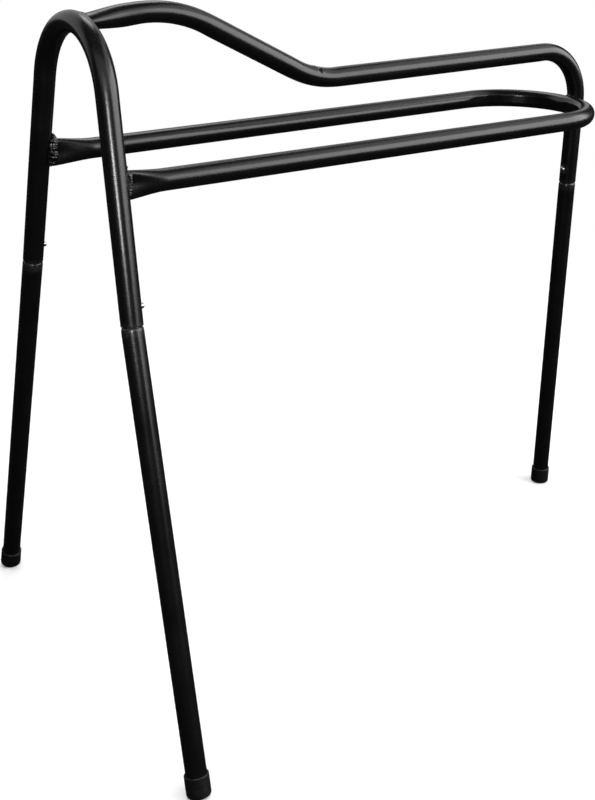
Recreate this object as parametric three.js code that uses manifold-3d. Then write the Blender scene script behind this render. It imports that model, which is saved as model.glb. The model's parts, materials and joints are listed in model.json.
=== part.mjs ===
// Free-standing saddle rack: a welded frame of bent round tube on three plug-in legs.
//
// The frame is a narrow front arch, a spine that runs back from its top, and a hairpin loop of side rails.
// Each leg has a reduced neck that plugs up into the frame and is held by a sprung snap button.
//
// Millimetres, +Z up. The origin is on the floor under the middle of the rack's bounding box. The arch is
// at -X, the rear leg at +X. Left (-Y) and right (+Y) are those of a horse that faces the arch end.

import * as THREE from 'three';
import { mergeVertices } from 'three/addons/utils/BufferGeometryUtils.js';
import Module from 'manifold-3d';

const wasm = await Module();
wasm.setup();

// ---------------------------------------------------------------- driving dimensions

const TUBE_DIAMETER = 25.4;
const WALL = 1.5;
const FIT_GAP = 0.3; // air left between pieces that touch

// Front arch, in a plane that leans forward from its top
const ARCH_TOP = 834.3; // height of the tube's centre line at the top
const ARCH_BEND = 86.5;
const ARCH_SPLAY = 13.5; // degrees that each side spreads from the upright
const ARCH_LEAN = 26; // how far forward of the top the sockets stand
const SOCKET_HEIGHT = 528; // lower end of every upper tube

// Where the centre lines of the legs meet the floor
const FOOT_SPREAD = 298; // each side of the middle
const FOOT_LEAN = 63.5; // forward of the arch's top
const REAR_FOOT = 776.3; // behind the arch's top

// Spine, in the middle plane: x behind the arch's top, z above the floor, bend radius
const SPINE_START = 832;
const HUMP = { x: 123.5, z: 840.5, bend: 167 };
const VALLEY = { x: 317, z: 737, bend: 139 };
const REAR_CORNER = { x: 799.2, z: 730.7, bend: 76.3 };
const REAR_SOCKET = 791.7;

// Side rails: one tube, from the left arch leg round behind to the right one
const RAIL_FRONT_HEIGHT = 671.5;
const RAIL_REAR_HEIGHT = 651;
const RAIL_FRONT_SPREAD = 94.7;
const RAIL_SPREAD = 103; // half the loop's width where its rear bends start
const REAR_FLAT = 6; // straight stretch between the two rear bends
const RAIL_START = -2.5;

// Squeezed tube ends: the rails' in millimetres, the spine's height and width as shares of the round tube
const RAIL_END = { length: 52, width: 34, thickness: 9, shift: 3.6 };
const SPINE_END = { length: 45, height: 0.88, width: 1.08 };

// Neck of a leg, plugged into the frame
const NECK_LENGTH = 60;
const NECK_CHAMFER = 0.6;
const SHOULDER_LENGTH = 5;
const SHOULDER_STEP = 1; // groove left between the frame's tube and the leg's shoulder

// Rubber foot cap
const CAP = { diameter: 29.5, height: 27, sole: 4, edge: 4, rim: 1.2, wear: 1.2 };

// Snap button: a domed pin whose axis is at this height above the socket's mouth
const BUTTON = { diameter: 7, height: 21, proud: 3.5, length: 8.4, dome: 2, edge: 1.6 };
const BUTTON_FLANGE = { diameter: 8.6, thickness: 0.8 };
const BUTTON_SIDES = 16;

// V spring: the seat leaf reaches this far above and below the button's axis
const SPRING = { thickness: 0.8, width: 7, seat: 7 };
const SPRING_BEND = { radius: 2, shift: -1, down: 9 }; // down from the top of the neck
const SPRING_BACK = { gap: 1.5, below: 4 }; // from the neck's far wall, and below the button's axis

// Weld beads: how far each reaches over the tubes it joins
const BEAD = { spine: 2, rail: 3.6, loop: 3.6 };
const UNWELDED = 5.5; // radius of the pinched middle of two crossed tubes, which the bead doesn't reach

// Facets
const SIDES = 20;
const DEGREES_PER_RING = 11;
const ROOM = 3000; // side of a box that holds the whole rack

// ---------------------------------------------------------------- derived sizes

const TUBE_RADIUS = TUBE_DIAMETER / 2;
const BORE_RADIUS = TUBE_RADIUS - WALL;
const NECK_RADIUS = BORE_RADIUS - FIT_GAP;
const NECK_BORE = NECK_RADIUS - WALL;
const BUTTON_HOLE = BUTTON.diameter / 2 + FIT_GAP;

const rad = THREE.MathUtils.degToRad;
const vec = (x, y, z) => new THREE.Vector3(x, y, z);
const smooth = THREE.MathUtils.smoothstep;
const lerp = THREE.MathUtils.lerp;

// ---------------------------------------------------------------- materials

function finish(color, roughness, metalness) {
  return new THREE.MeshStandardMaterial({ color, roughness, metalness });
}

const powderCoat = () => finish(0x18181a, 0.38, 0.25);
const weldMetal = () => finish(0x1c1c1e, 0.5, 0.25);
const rubber = () => finish(0x121212, 0.85, 0);
const zincSteel = () => finish(0xc9c9c4, 0.3, 1);
const springSteel = () => finish(0x7d8084, 0.4, 1);

// ---------------------------------------------------------------- solids

/** A manifold solid with the same surface as a closed three.js geometry. */
function solidFrom(geometry) {
  const bare = geometry.clone();
  bare.deleteAttribute('normal');
  bare.deleteAttribute('uv');
  const merged = mergeVertices(bare);
  return new wasm.Manifold(new wasm.Mesh({
    numProp: 3,
    vertProperties: new Float32Array(merged.attributes.position.array),
    triVerts: new Uint32Array(merged.index.array),
  }));
}

/** A three.js geometry with the surface of a manifold solid. */
function geometryFrom(solid) {
  const mesh = solid.getMesh();
  const geometry = new THREE.BufferGeometry();
  geometry.setAttribute('position', new THREE.BufferAttribute(mesh.vertProperties, 3));
  geometry.setIndex(new THREE.BufferAttribute(mesh.triVerts, 1));
  geometry.computeVertexNormals();
  return geometry;
}

/** The geometry with every cutter taken away from it. */
function cut(geometry, ...cutters) {
  const left = cutters.reduce((solid, cutter) => solid.subtract(solidFrom(cutter)), solidFrom(geometry));
  return geometryFrom(left);
}

// ---------------------------------------------------------------- bent tube

/** A curve that is read only at its stations, so that a tube has rings just where its bends need them. */
class StationCurve extends THREE.Curve {
  constructor(stations) {
    super();
    this.stations = stations;
  }

  stationAt(u) {
    return this.stations[Math.round(u * (this.stations.length - 1))];
  }

  getPoint(u, target = new THREE.Vector3()) {
    return target.copy(this.stationAt(u).point);
  }

  getPointAt(u, target) {
    return this.getPoint(u, target);
  }

  getTangentAt(u, target = new THREE.Vector3()) {
    return target.copy(this.stationAt(u).tangent);
  }
}

/** Stations along straight runs joined by round bends, with a ring in the middle of each bend.
 *  bends[i] is the radius at corner i + 1. */
function bentPath(corners, bends) {
  const stations = [];
  const add = (point, tangent) => stations.push({ point: point.clone(), tangent: tangent.clone() });
  const direction = (from, to) => to.clone().sub(from).normalize();
  add(corners[0], direction(corners[0], corners[1]));
  bends.forEach((radius, i) => {
    const before = direction(corners[i], corners[i + 1]);
    const after = direction(corners[i + 1], corners[i + 2]);
    const turn = before.angleTo(after);
    const setback = radius * Math.tan(turn / 2);
    const start = corners[i + 1].clone().addScaledVector(before, -setback);
    const inward = after.clone().addScaledVector(before, -after.dot(before)).normalize();
    const centre = start.clone().addScaledVector(inward, radius);
    const rings = 2 * Math.ceil(turn / rad(2 * DEGREES_PER_RING));
    for (let k = 0; k <= rings; k++) {
      const angle = (turn * k) / rings;
      const tangent = before.clone().multiplyScalar(Math.cos(angle)).addScaledVector(inward, Math.sin(angle));
      const spoke = before.clone().multiplyScalar(Math.sin(angle)).addScaledVector(inward, -Math.cos(angle));
      add(centre.clone().addScaledVector(spoke, radius), tangent);
    }
  });
  add(corners.at(-1), direction(corners.at(-2), corners.at(-1)));
  return stations;
}

/** Extra stations along the first run, at these distances from its end. */
function withStartStations(stations, distances) {
  const [first, ...rest] = stations;
  const extra = distances.map((d) => ({
    point: first.point.clone().addScaledVector(first.tangent, d),
    tangent: first.tangent.clone(),
  }));
  return [first, ...extra, ...rest];
}

/** The same path walked the other way. */
function reversed(stations) {
  return stations.map(({ point, tangent }) => ({ point, tangent: tangent.clone().negate() })).reverse();
}

const circlePoints = (radius) => Array.from({ length: SIDES }, (_, i) => {
  const angle = (2 * Math.PI * i) / SIDES;
  return new THREE.Vector2(radius * Math.cos(angle), radius * Math.sin(angle));
});

/** A tube along the stations; with no bore it is a solid bar. */
function sweep(stations, radius, bore = 0) {
  const shape = new THREE.Shape(circlePoints(radius));
  if (bore > 0) shape.holes.push(new THREE.Path(circlePoints(bore)));
  const extrudePath = new StationCurve(stations);
  return new THREE.ExtrudeGeometry(shape, { steps: stations.length - 1, extrudePath, bevelEnabled: false });
}

/** Moves every vertex of a geometry by a rule that changes the point it is given. */
function reshape(geometry, rule) {
  const position = geometry.attributes.position;
  const point = new THREE.Vector3();
  for (let i = 0; i < position.count; i++) {
    rule(point.fromBufferAttribute(position, i));
    position.setXYZ(i, point.x, point.y, point.z);
  }
  return geometry;
}

/** A closed solid turned about Z from a half section of [radius, height] points. */
function turned(section, sides = SIDES) {
  const points = section.map(([radius, height]) => new THREE.Vector2(radius, height));
  return new THREE.LatheGeometry(points, sides).rotateX(Math.PI / 2);
}

/** Points of a quarter round in a half section, from one angle to another. */
function roundedEdge(radius, height, size, from, to, steps = 3) {
  return Array.from({ length: steps + 1 }, (_, i) => {
    const angle = rad(lerp(from, to, i / steps));
    return [radius + size * Math.cos(angle), height + size * Math.sin(angle)];
  });
}

// ---------------------------------------------------------------- front arch

const archLean = Math.atan2(ARCH_LEAN, ARCH_TOP - SOCKET_HEIGHT);

/** A point in the arch's leaning plane: sideways, and down the plane from the top. */
function archPoint(y, down) {
  return vec(-down * Math.sin(archLean), y, ARCH_TOP - down * Math.cos(archLean));
}

/** Distance down the arch's plane of a height above the floor. */
const archDown = (height) => (ARCH_TOP - height) / Math.cos(archLean);

/** Where the arch's straight sides would meet if they ran on, as a distance down its plane. */
const archApexDown = ARCH_BEND - ARCH_BEND / Math.sin(rad(ARCH_SPLAY));

/** Half the distance between the arch's straight sides at a distance down its plane. */
const archHalfWidth = (down) => (down - archApexDown) * Math.tan(rad(ARCH_SPLAY));

/** Centre of the arch's tube at a height, on the left (-1) or right (+1). */
function archSidePoint(side, height) {
  const down = archDown(height);
  return archPoint(side * archHalfWidth(down), down);
}

function archPath() {
  const apex = archPoint(0, archApexDown);
  return bentPath([archSidePoint(-1, SOCKET_HEIGHT), apex, archSidePoint(1, SOCKET_HEIGHT)], [ARCH_BEND]);
}

// ---------------------------------------------------------------- spine

function spinePath() {
  const corners = [
    vec(0, 0, SPINE_START),
    vec(HUMP.x, 0, HUMP.z),
    vec(VALLEY.x, 0, VALLEY.z),
    vec(REAR_CORNER.x, 0, REAR_CORNER.z),
    vec(REAR_SOCKET, 0, SOCKET_HEIGHT),
  ];
  const path = bentPath(corners, [HUMP.bend, VALLEY.bend, REAR_CORNER.bend]);
  return withStartStations(path, [SPINE_END.length / 3, (SPINE_END.length * 2) / 3, SPINE_END.length]);
}

/** The spine's front end is squeezed a little oval, with its top line kept straight. */
function squeezeSpineEnd(geometry) {
  const slope = (HUMP.z - SPINE_START) / HUMP.x;
  return reshape(geometry, (p) => {
    if (p.x > SPINE_END.length) return;
    const full = smooth(p.x, 0, SPINE_END.length);
    const top = SPINE_START + slope * p.x + TUBE_RADIUS;
    p.z = top + (p.z - top) * lerp(SPINE_END.height, 1, full);
    p.y *= lerp(SPINE_END.width, 1, full);
  });
}

// ---------------------------------------------------------------- side rails

/** X of the rear leg's centre line at a height above its socket. */
function rearLegX(height) {
  const share = (height - SOCKET_HEIGHT) / (REAR_CORNER.z - SOCKET_HEIGHT);
  return lerp(REAR_SOCKET, REAR_CORNER.x, share);
}

function railPath() {
  const rear = rearLegX(RAIL_REAR_HEIGHT) - TUBE_DIAMETER - FIT_GAP;
  const splay = (RAIL_SPREAD - RAIL_FRONT_SPREAD) / (rear - RAIL_SPREAD - RAIL_START);
  const rearSpread = RAIL_SPREAD * (1 + splay);
  const bend = RAIL_SPREAD - REAR_FLAT / 2;
  const corners = [
    vec(RAIL_START, -RAIL_FRONT_SPREAD, RAIL_FRONT_HEIGHT),
    vec(rear, -rearSpread, RAIL_REAR_HEIGHT),
    vec(rear, rearSpread, RAIL_REAR_HEIGHT),
    vec(RAIL_START, RAIL_FRONT_SPREAD, RAIL_FRONT_HEIGHT),
  ];
  const flare = [0.2, 0.4, 0.6, 0.8, 1].map((share) => share * RAIL_END.length);
  const oneEnd = withStartStations(bentPath(corners, [bend, bend]), flare);
  return reversed(withStartStations(reversed(oneEnd), flare));
}

/** Height of the rails' centre line, and its distance from the middle plane, at x near the arch. */
function railCentre(x, path) {
  const { point, tangent } = path[0];
  const run = (x - point.x) / tangent.x;
  return { z: point.z + run * tangent.z, spread: -point.y - run * tangent.y };
}

/** Both front ends of the rails are pressed flat and upright; grow makes the same shape fatter all round. */
function flattenRailEnds(geometry, path, grow = 0) {
  const fromCentre = (p, centre) => Math.hypot(Math.abs(p.y) - centre.spread, p.z - centre.z);
  return reshape(geometry, (p) => {
    const fromEnd = p.x - RAIL_START;
    if (fromEnd > RAIL_END.length || fromEnd < -TUBE_DIAMETER) return;
    const centre = railCentre(p.x, path);
    const round = smooth(fromEnd, -RAIL_END.length * 0.1, RAIL_END.length);
    const isBore = grow === 0 && fromCentre(p, centre) < BORE_RADIUS + WALL / 2;
    const inset = isBore ? -WALL : grow;
    const roundSize = TUBE_DIAMETER + 2 * inset;
    const thinner = lerp((RAIL_END.thickness + 2 * inset) / roundSize, 1, round);
    const taller = lerp((RAIL_END.width + 2 * inset) / roundSize, 1, round);
    const across = (Math.abs(p.y) - centre.spread) * thinner;
    p.y = Math.sign(p.y) * (centre.spread + RAIL_END.shift * (1 - round) + across);
    p.z = centre.z + (p.z - centre.z) * taller;
  });
}

// ---------------------------------------------------------------- sockets and legs

/** A leg under one side of the arch: its socket, the way up the tube above, its foot and its button. */
function frontLeg(name, side) {
  const socket = archSidePoint(side, SOCKET_HEIGHT);
  return {
    name,
    socket,
    up: archPoint(0, archApexDown).sub(socket),
    foot: vec(-FOOT_LEAN, side * FOOT_SPREAD, 0),
    buttonFaces: vec(1, 0, 0),
  };
}

function rearLeg() {
  return {
    name: 'rear',
    socket: vec(REAR_SOCKET, 0, SOCKET_HEIGHT),
    up: vec(REAR_CORNER.x - REAR_SOCKET, 0, REAR_CORNER.z - SOCKET_HEIGHT),
    foot: vec(REAR_FOOT, 0, 0),
    buttonFaces: vec(-1, 0, 0),
  };
}

const LEGS = [frontLeg('left', -1), frontLeg('right', 1), rearLeg()];

/** A group at the socket's mouth: +Z up the frame's tube, +X out through the snap button. */
function socketGroup(leg) {
  const up = leg.up.clone().normalize();
  const out = leg.buttonFaces.clone().addScaledVector(up, -leg.buttonFaces.dot(up)).normalize();
  const basis = new THREE.Matrix4().makeBasis(out, up.clone().cross(out), up);
  const group = new THREE.Group();
  group.position.copy(leg.socket);
  group.quaternion.setFromRotationMatrix(basis);
  group.updateMatrixWorld();
  return group;
}

/** A bar across the tube wall on the +X side, to cut the snap button's hole. */
function buttonDrill() {
  const bar = new THREE.CylinderGeometry(BUTTON_HOLE, BUTTON_HOLE, TUBE_DIAMETER, BUTTON_SIDES);
  return bar.rotateZ(-Math.PI / 2).translate(TUBE_RADIUS, 0, BUTTON.height);
}

/** The snap-button drills of the named legs, where they stand on the frame. */
function drillsAt(...names) {
  return LEGS.filter((leg) => names.includes(leg.name))
    .map((leg) => buttonDrill().applyMatrix4(socketGroup(leg).matrixWorld));
}

/** Where the foot's sole sits on the leg's lower axis, so that the cap stands with its edge worn flat. */
function soleGap(tilt) {
  const flatRadius = CAP.diameter / 2 - CAP.edge;
  const overhang = flatRadius * Math.sin(tilt) + CAP.edge * (1 - Math.cos(tilt));
  return (overhang - CAP.wear) / Math.cos(tilt);
}

/** The lower axis in the socket group: where it starts, its turn from -Z, and its length to the sole. */
function lowerAxis(leg, group) {
  const knee = vec(0, 0, -SHOULDER_STEP - SHOULDER_LENGTH);
  const foot = group.worldToLocal(leg.foot.clone());
  const down = foot.clone().sub(knee);
  const worldDown = leg.foot.clone().sub(group.localToWorld(knee.clone()));
  const tilt = worldDown.angleTo(vec(0, 0, -1));
  const turn = new THREE.Quaternion().setFromUnitVectors(vec(0, 0, -1), down.clone().normalize());
  return { knee, turn, length: down.length() - soleGap(tilt) };
}

/** Lower tube of a leg, with the rounded shoulder and reduced neck that plug into the frame. */
function legGeometry({ knee, turn, length }) {
  const top = -SHOULDER_STEP;
  const tubeEnd = knee.z - length + CAP.sole + FIT_GAP;
  const step = TUBE_RADIUS - NECK_RADIUS;
  const shoulder = [0, 30, 60, 90].map((angle) => [
    NECK_RADIUS + step * Math.cos(rad(angle)),
    knee.z + SHOULDER_LENGTH * Math.sin(rad(angle)),
  ]);
  const section = [
    [TUBE_RADIUS, tubeEnd],
    [TUBE_RADIUS, knee.z - 1],
    ...shoulder,
    [NECK_RADIUS, NECK_LENGTH - NECK_CHAMFER],
    [NECK_RADIUS - NECK_CHAMFER, NECK_LENGTH],
    [NECK_BORE, NECK_LENGTH],
    [NECK_BORE, top - 1],
    [BORE_RADIUS, knee.z - SHOULDER_LENGTH],
    [BORE_RADIUS, tubeEnd],
    [TUBE_RADIUS, tubeEnd],
  ];
  const straight = turned(section);
  const bent = reshape(straight, (p) => {
    if (p.z < knee.z) p.sub(knee).applyQuaternion(turn).add(knee);
  });
  return cut(bent, buttonDrill());
}

/** Rubber cup over the end of a leg, its rounded edge worn flat on the floor. */
function footCapGeometry(toWorld) {
  const radius = CAP.diameter / 2;
  const bore = TUBE_RADIUS + FIT_GAP;
  const section = [
    [0, 0],
    ...roundedEdge(radius - CAP.edge, CAP.edge, CAP.edge, -90, 0),
    ...roundedEdge(radius - CAP.rim, CAP.height - CAP.rim, CAP.rim, 0, 90, 2),
    [bore, CAP.height],
    [bore, CAP.sole],
    [0, CAP.sole],
  ];
  const middle = vec(0, 0, 0).applyMatrix4(toWorld);
  const side = CAP.diameter * 2;
  const floor = new THREE.BoxGeometry(side, side, side).translate(middle.x, middle.y, -side / 2);
  return cut(turned(section), floor.applyMatrix4(toWorld.clone().invert()));
}

// Distances from the socket's axis to the button's tip and the two faces of its flange
const buttonTip = TUBE_RADIUS + BUTTON.proud;
const flangeOuter = buttonTip - BUTTON.length;
const flangeInner = flangeOuter - BUTTON_FLANGE.thickness;

/** Domed pin with a flange inside the neck; its axis is +X of the socket group. */
function snapButtonGeometry() {
  const radius = BUTTON.diameter / 2;
  const dome = [0, 30, 60, 90].map((angle) => [
    radius - BUTTON.edge + BUTTON.edge * Math.cos(rad(angle)),
    buttonTip - BUTTON.dome + BUTTON.dome * Math.sin(rad(angle)),
  ]);
  const section = [
    [0, flangeInner],
    [BUTTON_FLANGE.diameter / 2, flangeInner],
    [BUTTON_FLANGE.diameter / 2, flangeOuter],
    [radius, flangeOuter],
    ...dome,
    [0, buttonTip],
  ];
  const upright = turned(section, BUTTON_SIDES);
  return upright.rotateY(Math.PI / 2).translate(0, 0, BUTTON.height);
}

/** V spring inside the neck: a leaf under the button and one by the far wall, joined by a bend at the top. */
function snapSpringGeometry() {
  const half = SPRING.thickness / 2;
  const seat = flangeInner - FIT_GAP - half;
  const back = -NECK_BORE + SPRING_BACK.gap;
  const bend = [0, 45, 90, 135, 180].map((angle) => new THREE.Vector2(
    SPRING_BEND.shift + SPRING_BEND.radius * Math.cos(rad(angle)),
    NECK_LENGTH - SPRING_BEND.down + SPRING_BEND.radius * Math.sin(rad(angle)),
  ));
  const middle = [
    new THREE.Vector2(seat, BUTTON.height - SPRING.seat),
    new THREE.Vector2(seat, BUTTON.height + SPRING.seat),
    ...bend,
    new THREE.Vector2(back, BUTTON.height - SPRING_BACK.below),
  ];
  const side = (offset) => middle.map((point, i) => {
    const before = middle[Math.max(i - 1, 0)];
    const after = middle[Math.min(i + 1, middle.length - 1)];
    const along = after.clone().sub(before).normalize();
    return new THREE.Vector2(point.x - along.y * offset, point.y + along.x * offset);
  });
  const ribbon = new THREE.Shape([...side(half), ...side(-half).reverse()]);
  const strip = new THREE.ExtrudeGeometry(ribbon, { depth: SPRING.width, bevelEnabled: false });
  return strip.translate(0, 0, -SPRING.width / 2).rotateX(Math.PI / 2);
}

// ---------------------------------------------------------------- weld beads

/** What lies within reach of both tubes and outside both of them. */
function beadBetween(fat, slim) {
  const reach = solidFrom(fat[0]).intersect(solidFrom(fat[1]));
  return geometryFrom(reach.subtract(solidFrom(slim[0])).subtract(solidFrom(slim[1])));
}

// ---------------------------------------------------------------- assembly

const rack = new THREE.Group();

function addPiece(parent, name, geometry, material) {
  const mesh = new THREE.Mesh(geometry, material);
  mesh.name = name;
  parent.add(mesh);
  return mesh;
}

const arch = archPath();
const spine = spinePath();
const rails = railPath();

const archBar = (grow) => sweep(arch, TUBE_RADIUS + grow);
const spineBar = (grow) => squeezeSpineEnd(sweep(spine, TUBE_RADIUS + grow));
const railBar = (grow) => flattenRailEnds(sweep(rails, TUBE_RADIUS + grow), rails, grow);

function frontArch() {
  return cut(sweep(arch, TUBE_RADIUS, BORE_RADIUS), ...drillsAt('left', 'right'));
}

function spineTube() {
  const tube = squeezeSpineEnd(sweep(spine, TUBE_RADIUS, BORE_RADIUS));
  return cut(tube, archBar(FIT_GAP), ...drillsAt('rear'));
}

function sideRailLoop() {
  const tube = flattenRailEnds(sweep(rails, TUBE_RADIUS, BORE_RADIUS), rails);
  return cut(tube, archBar(FIT_GAP));
}

/** The bead round the spine's coped front end. */
function spineWeld() {
  const fat = [archBar(BEAD.spine), spineBar(BEAD.spine)];
  return beadBetween(fat, [archBar(FIT_GAP), spineBar(FIT_GAP)]);
}

/** The bead at one rail end, from the half of the loop on that side. */
function railWeld(side) {
  const otherSide = new THREE.BoxGeometry(ROOM, ROOM, ROOM).translate(0, -side * ROOM / 2, 0);
  const rail = cut(railBar(BEAD.rail), otherSide);
  return beadBetween([archBar(BEAD.rail), rail], [archBar(FIT_GAP), railBar(FIT_GAP)]);
}

/** The bead round the place where the loop's rear touches the leg; the pinched middle holds no weld. */
function loopWeld() {
  const fat = [spineBar(BEAD.loop), railBar(BEAD.loop)];
  const bead = beadBetween(fat, [spineBar(FIT_GAP), railBar(FIT_GAP)]);
  const pinch = new THREE.CylinderGeometry(UNWELDED, UNWELDED, TUBE_DIAMETER, SIDES).rotateZ(Math.PI / 2);
  const contact = rearLegX(RAIL_REAR_HEIGHT) - TUBE_RADIUS;
  return cut(bead, pinch.translate(contact, 0, RAIL_REAR_HEIGHT));
}

function addFrame() {
  addPiece(rack, 'front_arch', frontArch(), powderCoat());
  addPiece(rack, 'spine_tube', spineTube(), powderCoat());
  addPiece(rack, 'side_rail_loop', sideRailLoop(), powderCoat());
  addPiece(rack, 'weld_spine', spineWeld(), weldMetal());
  addPiece(rack, 'weld_rail_left', railWeld(-1), weldMetal());
  addPiece(rack, 'weld_rail_right', railWeld(1), weldMetal());
  addPiece(rack, 'weld_loop', loopWeld(), weldMetal());
}

function addLeg(leg) {
  const group = socketGroup(leg);
  const axis = lowerAxis(leg, group);
  rack.add(group);
  addPiece(group, `leg_${leg.name}`, legGeometry(axis), powderCoat());
  addPiece(group, `snap_button_${leg.name}`, snapButtonGeometry(), zincSteel());
  addPiece(group, `snap_spring_${leg.name}`, snapSpringGeometry(), springSteel());

  const foot = new THREE.Group();
  foot.position.copy(axis.knee).add(vec(0, 0, -axis.length).applyQuaternion(axis.turn));
  foot.quaternion.copy(axis.turn);
  group.add(foot);
  foot.updateWorldMatrix(true, false);
  addPiece(foot, `foot_cap_${leg.name}`, footCapGeometry(foot.matrixWorld), rubber());
}

addFrame();
LEGS.forEach(addLeg);

// The origin moves from under the arch's top to under the middle of the whole rack.
const bounds = new THREE.Box3().setFromObject(rack, true);
rack.position.x = -(bounds.min.x + bounds.max.x) / 2;

export default rack;
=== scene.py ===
"""A saddle rack, dressed for a product photograph.

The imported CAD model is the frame. Every centre line, radius and axis is read off its nodes, and every
piece built here stands for one of them, with the fine surface that the CAD leaves out. Metres, +Z up.
"""

import json
import math

import bpy
import numpy as np
from mathutils import Euler, Matrix, Vector, noise


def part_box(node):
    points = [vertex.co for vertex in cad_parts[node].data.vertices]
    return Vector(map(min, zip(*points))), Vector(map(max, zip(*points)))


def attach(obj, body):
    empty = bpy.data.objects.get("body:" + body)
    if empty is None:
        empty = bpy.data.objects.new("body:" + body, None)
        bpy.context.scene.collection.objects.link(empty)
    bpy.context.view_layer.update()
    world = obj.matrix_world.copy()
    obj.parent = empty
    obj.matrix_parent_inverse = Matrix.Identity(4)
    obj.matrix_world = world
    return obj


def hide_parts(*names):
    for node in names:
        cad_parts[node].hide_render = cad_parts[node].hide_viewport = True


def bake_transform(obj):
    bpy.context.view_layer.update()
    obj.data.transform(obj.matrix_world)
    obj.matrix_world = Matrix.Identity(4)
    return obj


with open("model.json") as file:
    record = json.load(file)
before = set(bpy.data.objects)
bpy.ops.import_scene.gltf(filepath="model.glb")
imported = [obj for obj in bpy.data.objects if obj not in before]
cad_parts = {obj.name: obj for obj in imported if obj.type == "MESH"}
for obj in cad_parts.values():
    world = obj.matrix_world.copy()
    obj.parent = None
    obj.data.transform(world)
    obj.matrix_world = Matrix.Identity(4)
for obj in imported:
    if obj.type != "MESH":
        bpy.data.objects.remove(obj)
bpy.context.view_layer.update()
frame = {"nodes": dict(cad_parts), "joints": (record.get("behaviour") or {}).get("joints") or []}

MM = 0.001

# ---------------------------------------------------------------- sizes of the fine surface

SIDES = 56
BUTTON_SIDES = 40
CAP_SIDES = 72
BEAD_SIDES = 26
STRAIGHT_STEP = 6 * MM
FINE_STEP = 1.3 * MM
REACH = 40 * MM  # a cut across one tube is smaller than this, and this far from the next tube

WALL = 1.5 * MM
LIP = 0.35 * MM  # rounding of a sawn and deburred tube end
BORE_DEPTH = 68 * MM  # the frame's tubes are hollow this far up, which is longer than a leg's neck
SOCKET = 40 * MM  # the stretch above a socket's mouth that has narrow steps, for the button's hole
FIT_GAP = 0.3 * MM

OVALITY = {"squeeze": 0.03, "bulge": 0.018}  # in a bend: flatter in its plane, wider across it
SPINE_PINCH = {"start": 4 * MM, "end": 56 * MM, "height": 0.72, "width": 1.16}
VALLEY_KINK = {
    "shift": 0.5 * MM,
    "groove": 2.3 * MM,
    "width": 2.2 * MM,
    "pad": 1.0 * MM,
    "pad_length": 7 * MM,
}
REAR_CREASE = {
    "chord": 0.84,  # how far the flat inner wall is from the centre line, as a share of the radius
    "fade": 30 * MM,
    "ripple": 0.12 * MM,
    "pitch": 21 * MM,
    "groove": 0.5 * MM,
    "angle": 0.75,  # radians round the tube, from the middle of the inner wall to each crease
    "angle_width": 0.16,
}
RAIL_PRESS = {
    "length": 52 * MM,
    "width": 34 * MM,
    "rim": 7.5 * MM,
    "waist": 4 * MM,
    "shift": 3.6 * MM,
}
RAIL_DENT = {"depth": 4.3 * MM, "up": 3 * MM, "width": 6.4 * MM}  # pushed in, just above the middle

SHOULDER = 5 * MM  # length of the rounded step from the neck to the lower tube
CAP = {"sole": 4 * MM, "edge": 4 * MM, "rim": 1.2 * MM, "lip": 0.3 * MM, "parting": 0.08 * MM}
BUTTON = {"flange": 0.8 * MM, "bevel": 0.2 * MM, "dome": 2 * MM, "edge": 1.6 * MM, "crown": 0.15 * MM}
BEAD = {
    "spine": 1.9 * MM,
    "rail": 4.6 * MM,
    "rail_out": 3.4 * MM,
    "rail_back": 0.7,  # how far behind the seam the bead's middle lies, as a share of rail_out
    "rail_inside": 1.3,  # the bead is this many times fatter on the side toward the middle of the rack
    "rail_bottom": 0.4,  # and this many times as fat at the lower corner
    "rail_top": 0.6,
    "loop": 3.2 * MM,
    "loop_ring": 10 * MM,
}
BEAD_SURFACE = {"step": 0.4 * MM, "ripple": 0.16, "pitch": 2.9 * MM, "lump": 0.28}
ROUNDING_PASSES = 4
SPRING = {
    "thickness": 0.8 * MM,
    "width": 7 * MM,
    "seat": 7 * MM,
    "bend": 2 * MM,
    "shift": -1 * MM,
    "lift": 3 * MM,
    "rounding": 5 * MM,
}
POLE = 0.3 * MM  # radius of the small ring round the middle of a turned piece's flat end

CAMERA = {
    "place": (-0.8808, -1.2201, 0.9954),
    "turn": (34.95, 23.55, -0.69),  # degrees: round to the right of +Y, down, and leaning
    "lens": 51.61,  # millimetres
    "shift": (-0.0415, -0.0535),
}

LIGHT_AIM = Vector((0, 0, 0.6))

UP = Vector((0, 0, 1))
ALONG = Vector((1, 0, 0))
ACROSS = Vector((0, 1, 0))

# ---------------------------------------------------------------- reading the CAD


def arrays(node):
    """A CAD node's vertices and edges."""
    mesh = frame["nodes"][node].data
    points = np.empty(len(mesh.vertices) * 3)
    mesh.vertices.foreach_get("co", points)
    edges = np.empty(len(mesh.edges) * 2, int)
    mesh.edges.foreach_get("vertices", edges)
    return points.reshape(-1, 3), edges.reshape(-1, 2)


def middle(values):
    """Halfway between the lowest and the highest value."""
    return (values.min() + values.max()) / 2


def tube_centre(node, near, normal):
    """Centre of the tube that a plane through `near` cuts in a CAD node, at the cut nearest to it."""
    points, edges = arrays(node)
    offset = points - np.array(near)
    side = offset @ np.array(normal)
    a, b = edges[:, 0], edges[:, 1]
    crosses = side[a] * side[b] < 0
    a, b = a[crosses], b[crosses]
    share = (side[a] / (side[a] - side[b]))[:, None]
    cut = np.vstack([offset[a] + share * (offset[b] - offset[a]), offset[np.abs(side) < 1e-6]])
    nearest = cut[np.argmin(np.linalg.norm(cut, axis=1))]
    cut = cut[np.linalg.norm(cut - nearest, axis=1) < REACH]
    u = normal.orthogonal().normalized()
    v = normal.cross(u)
    return near + u * middle(cut @ np.array(u)) + v * middle(cut @ np.array(v))


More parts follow.
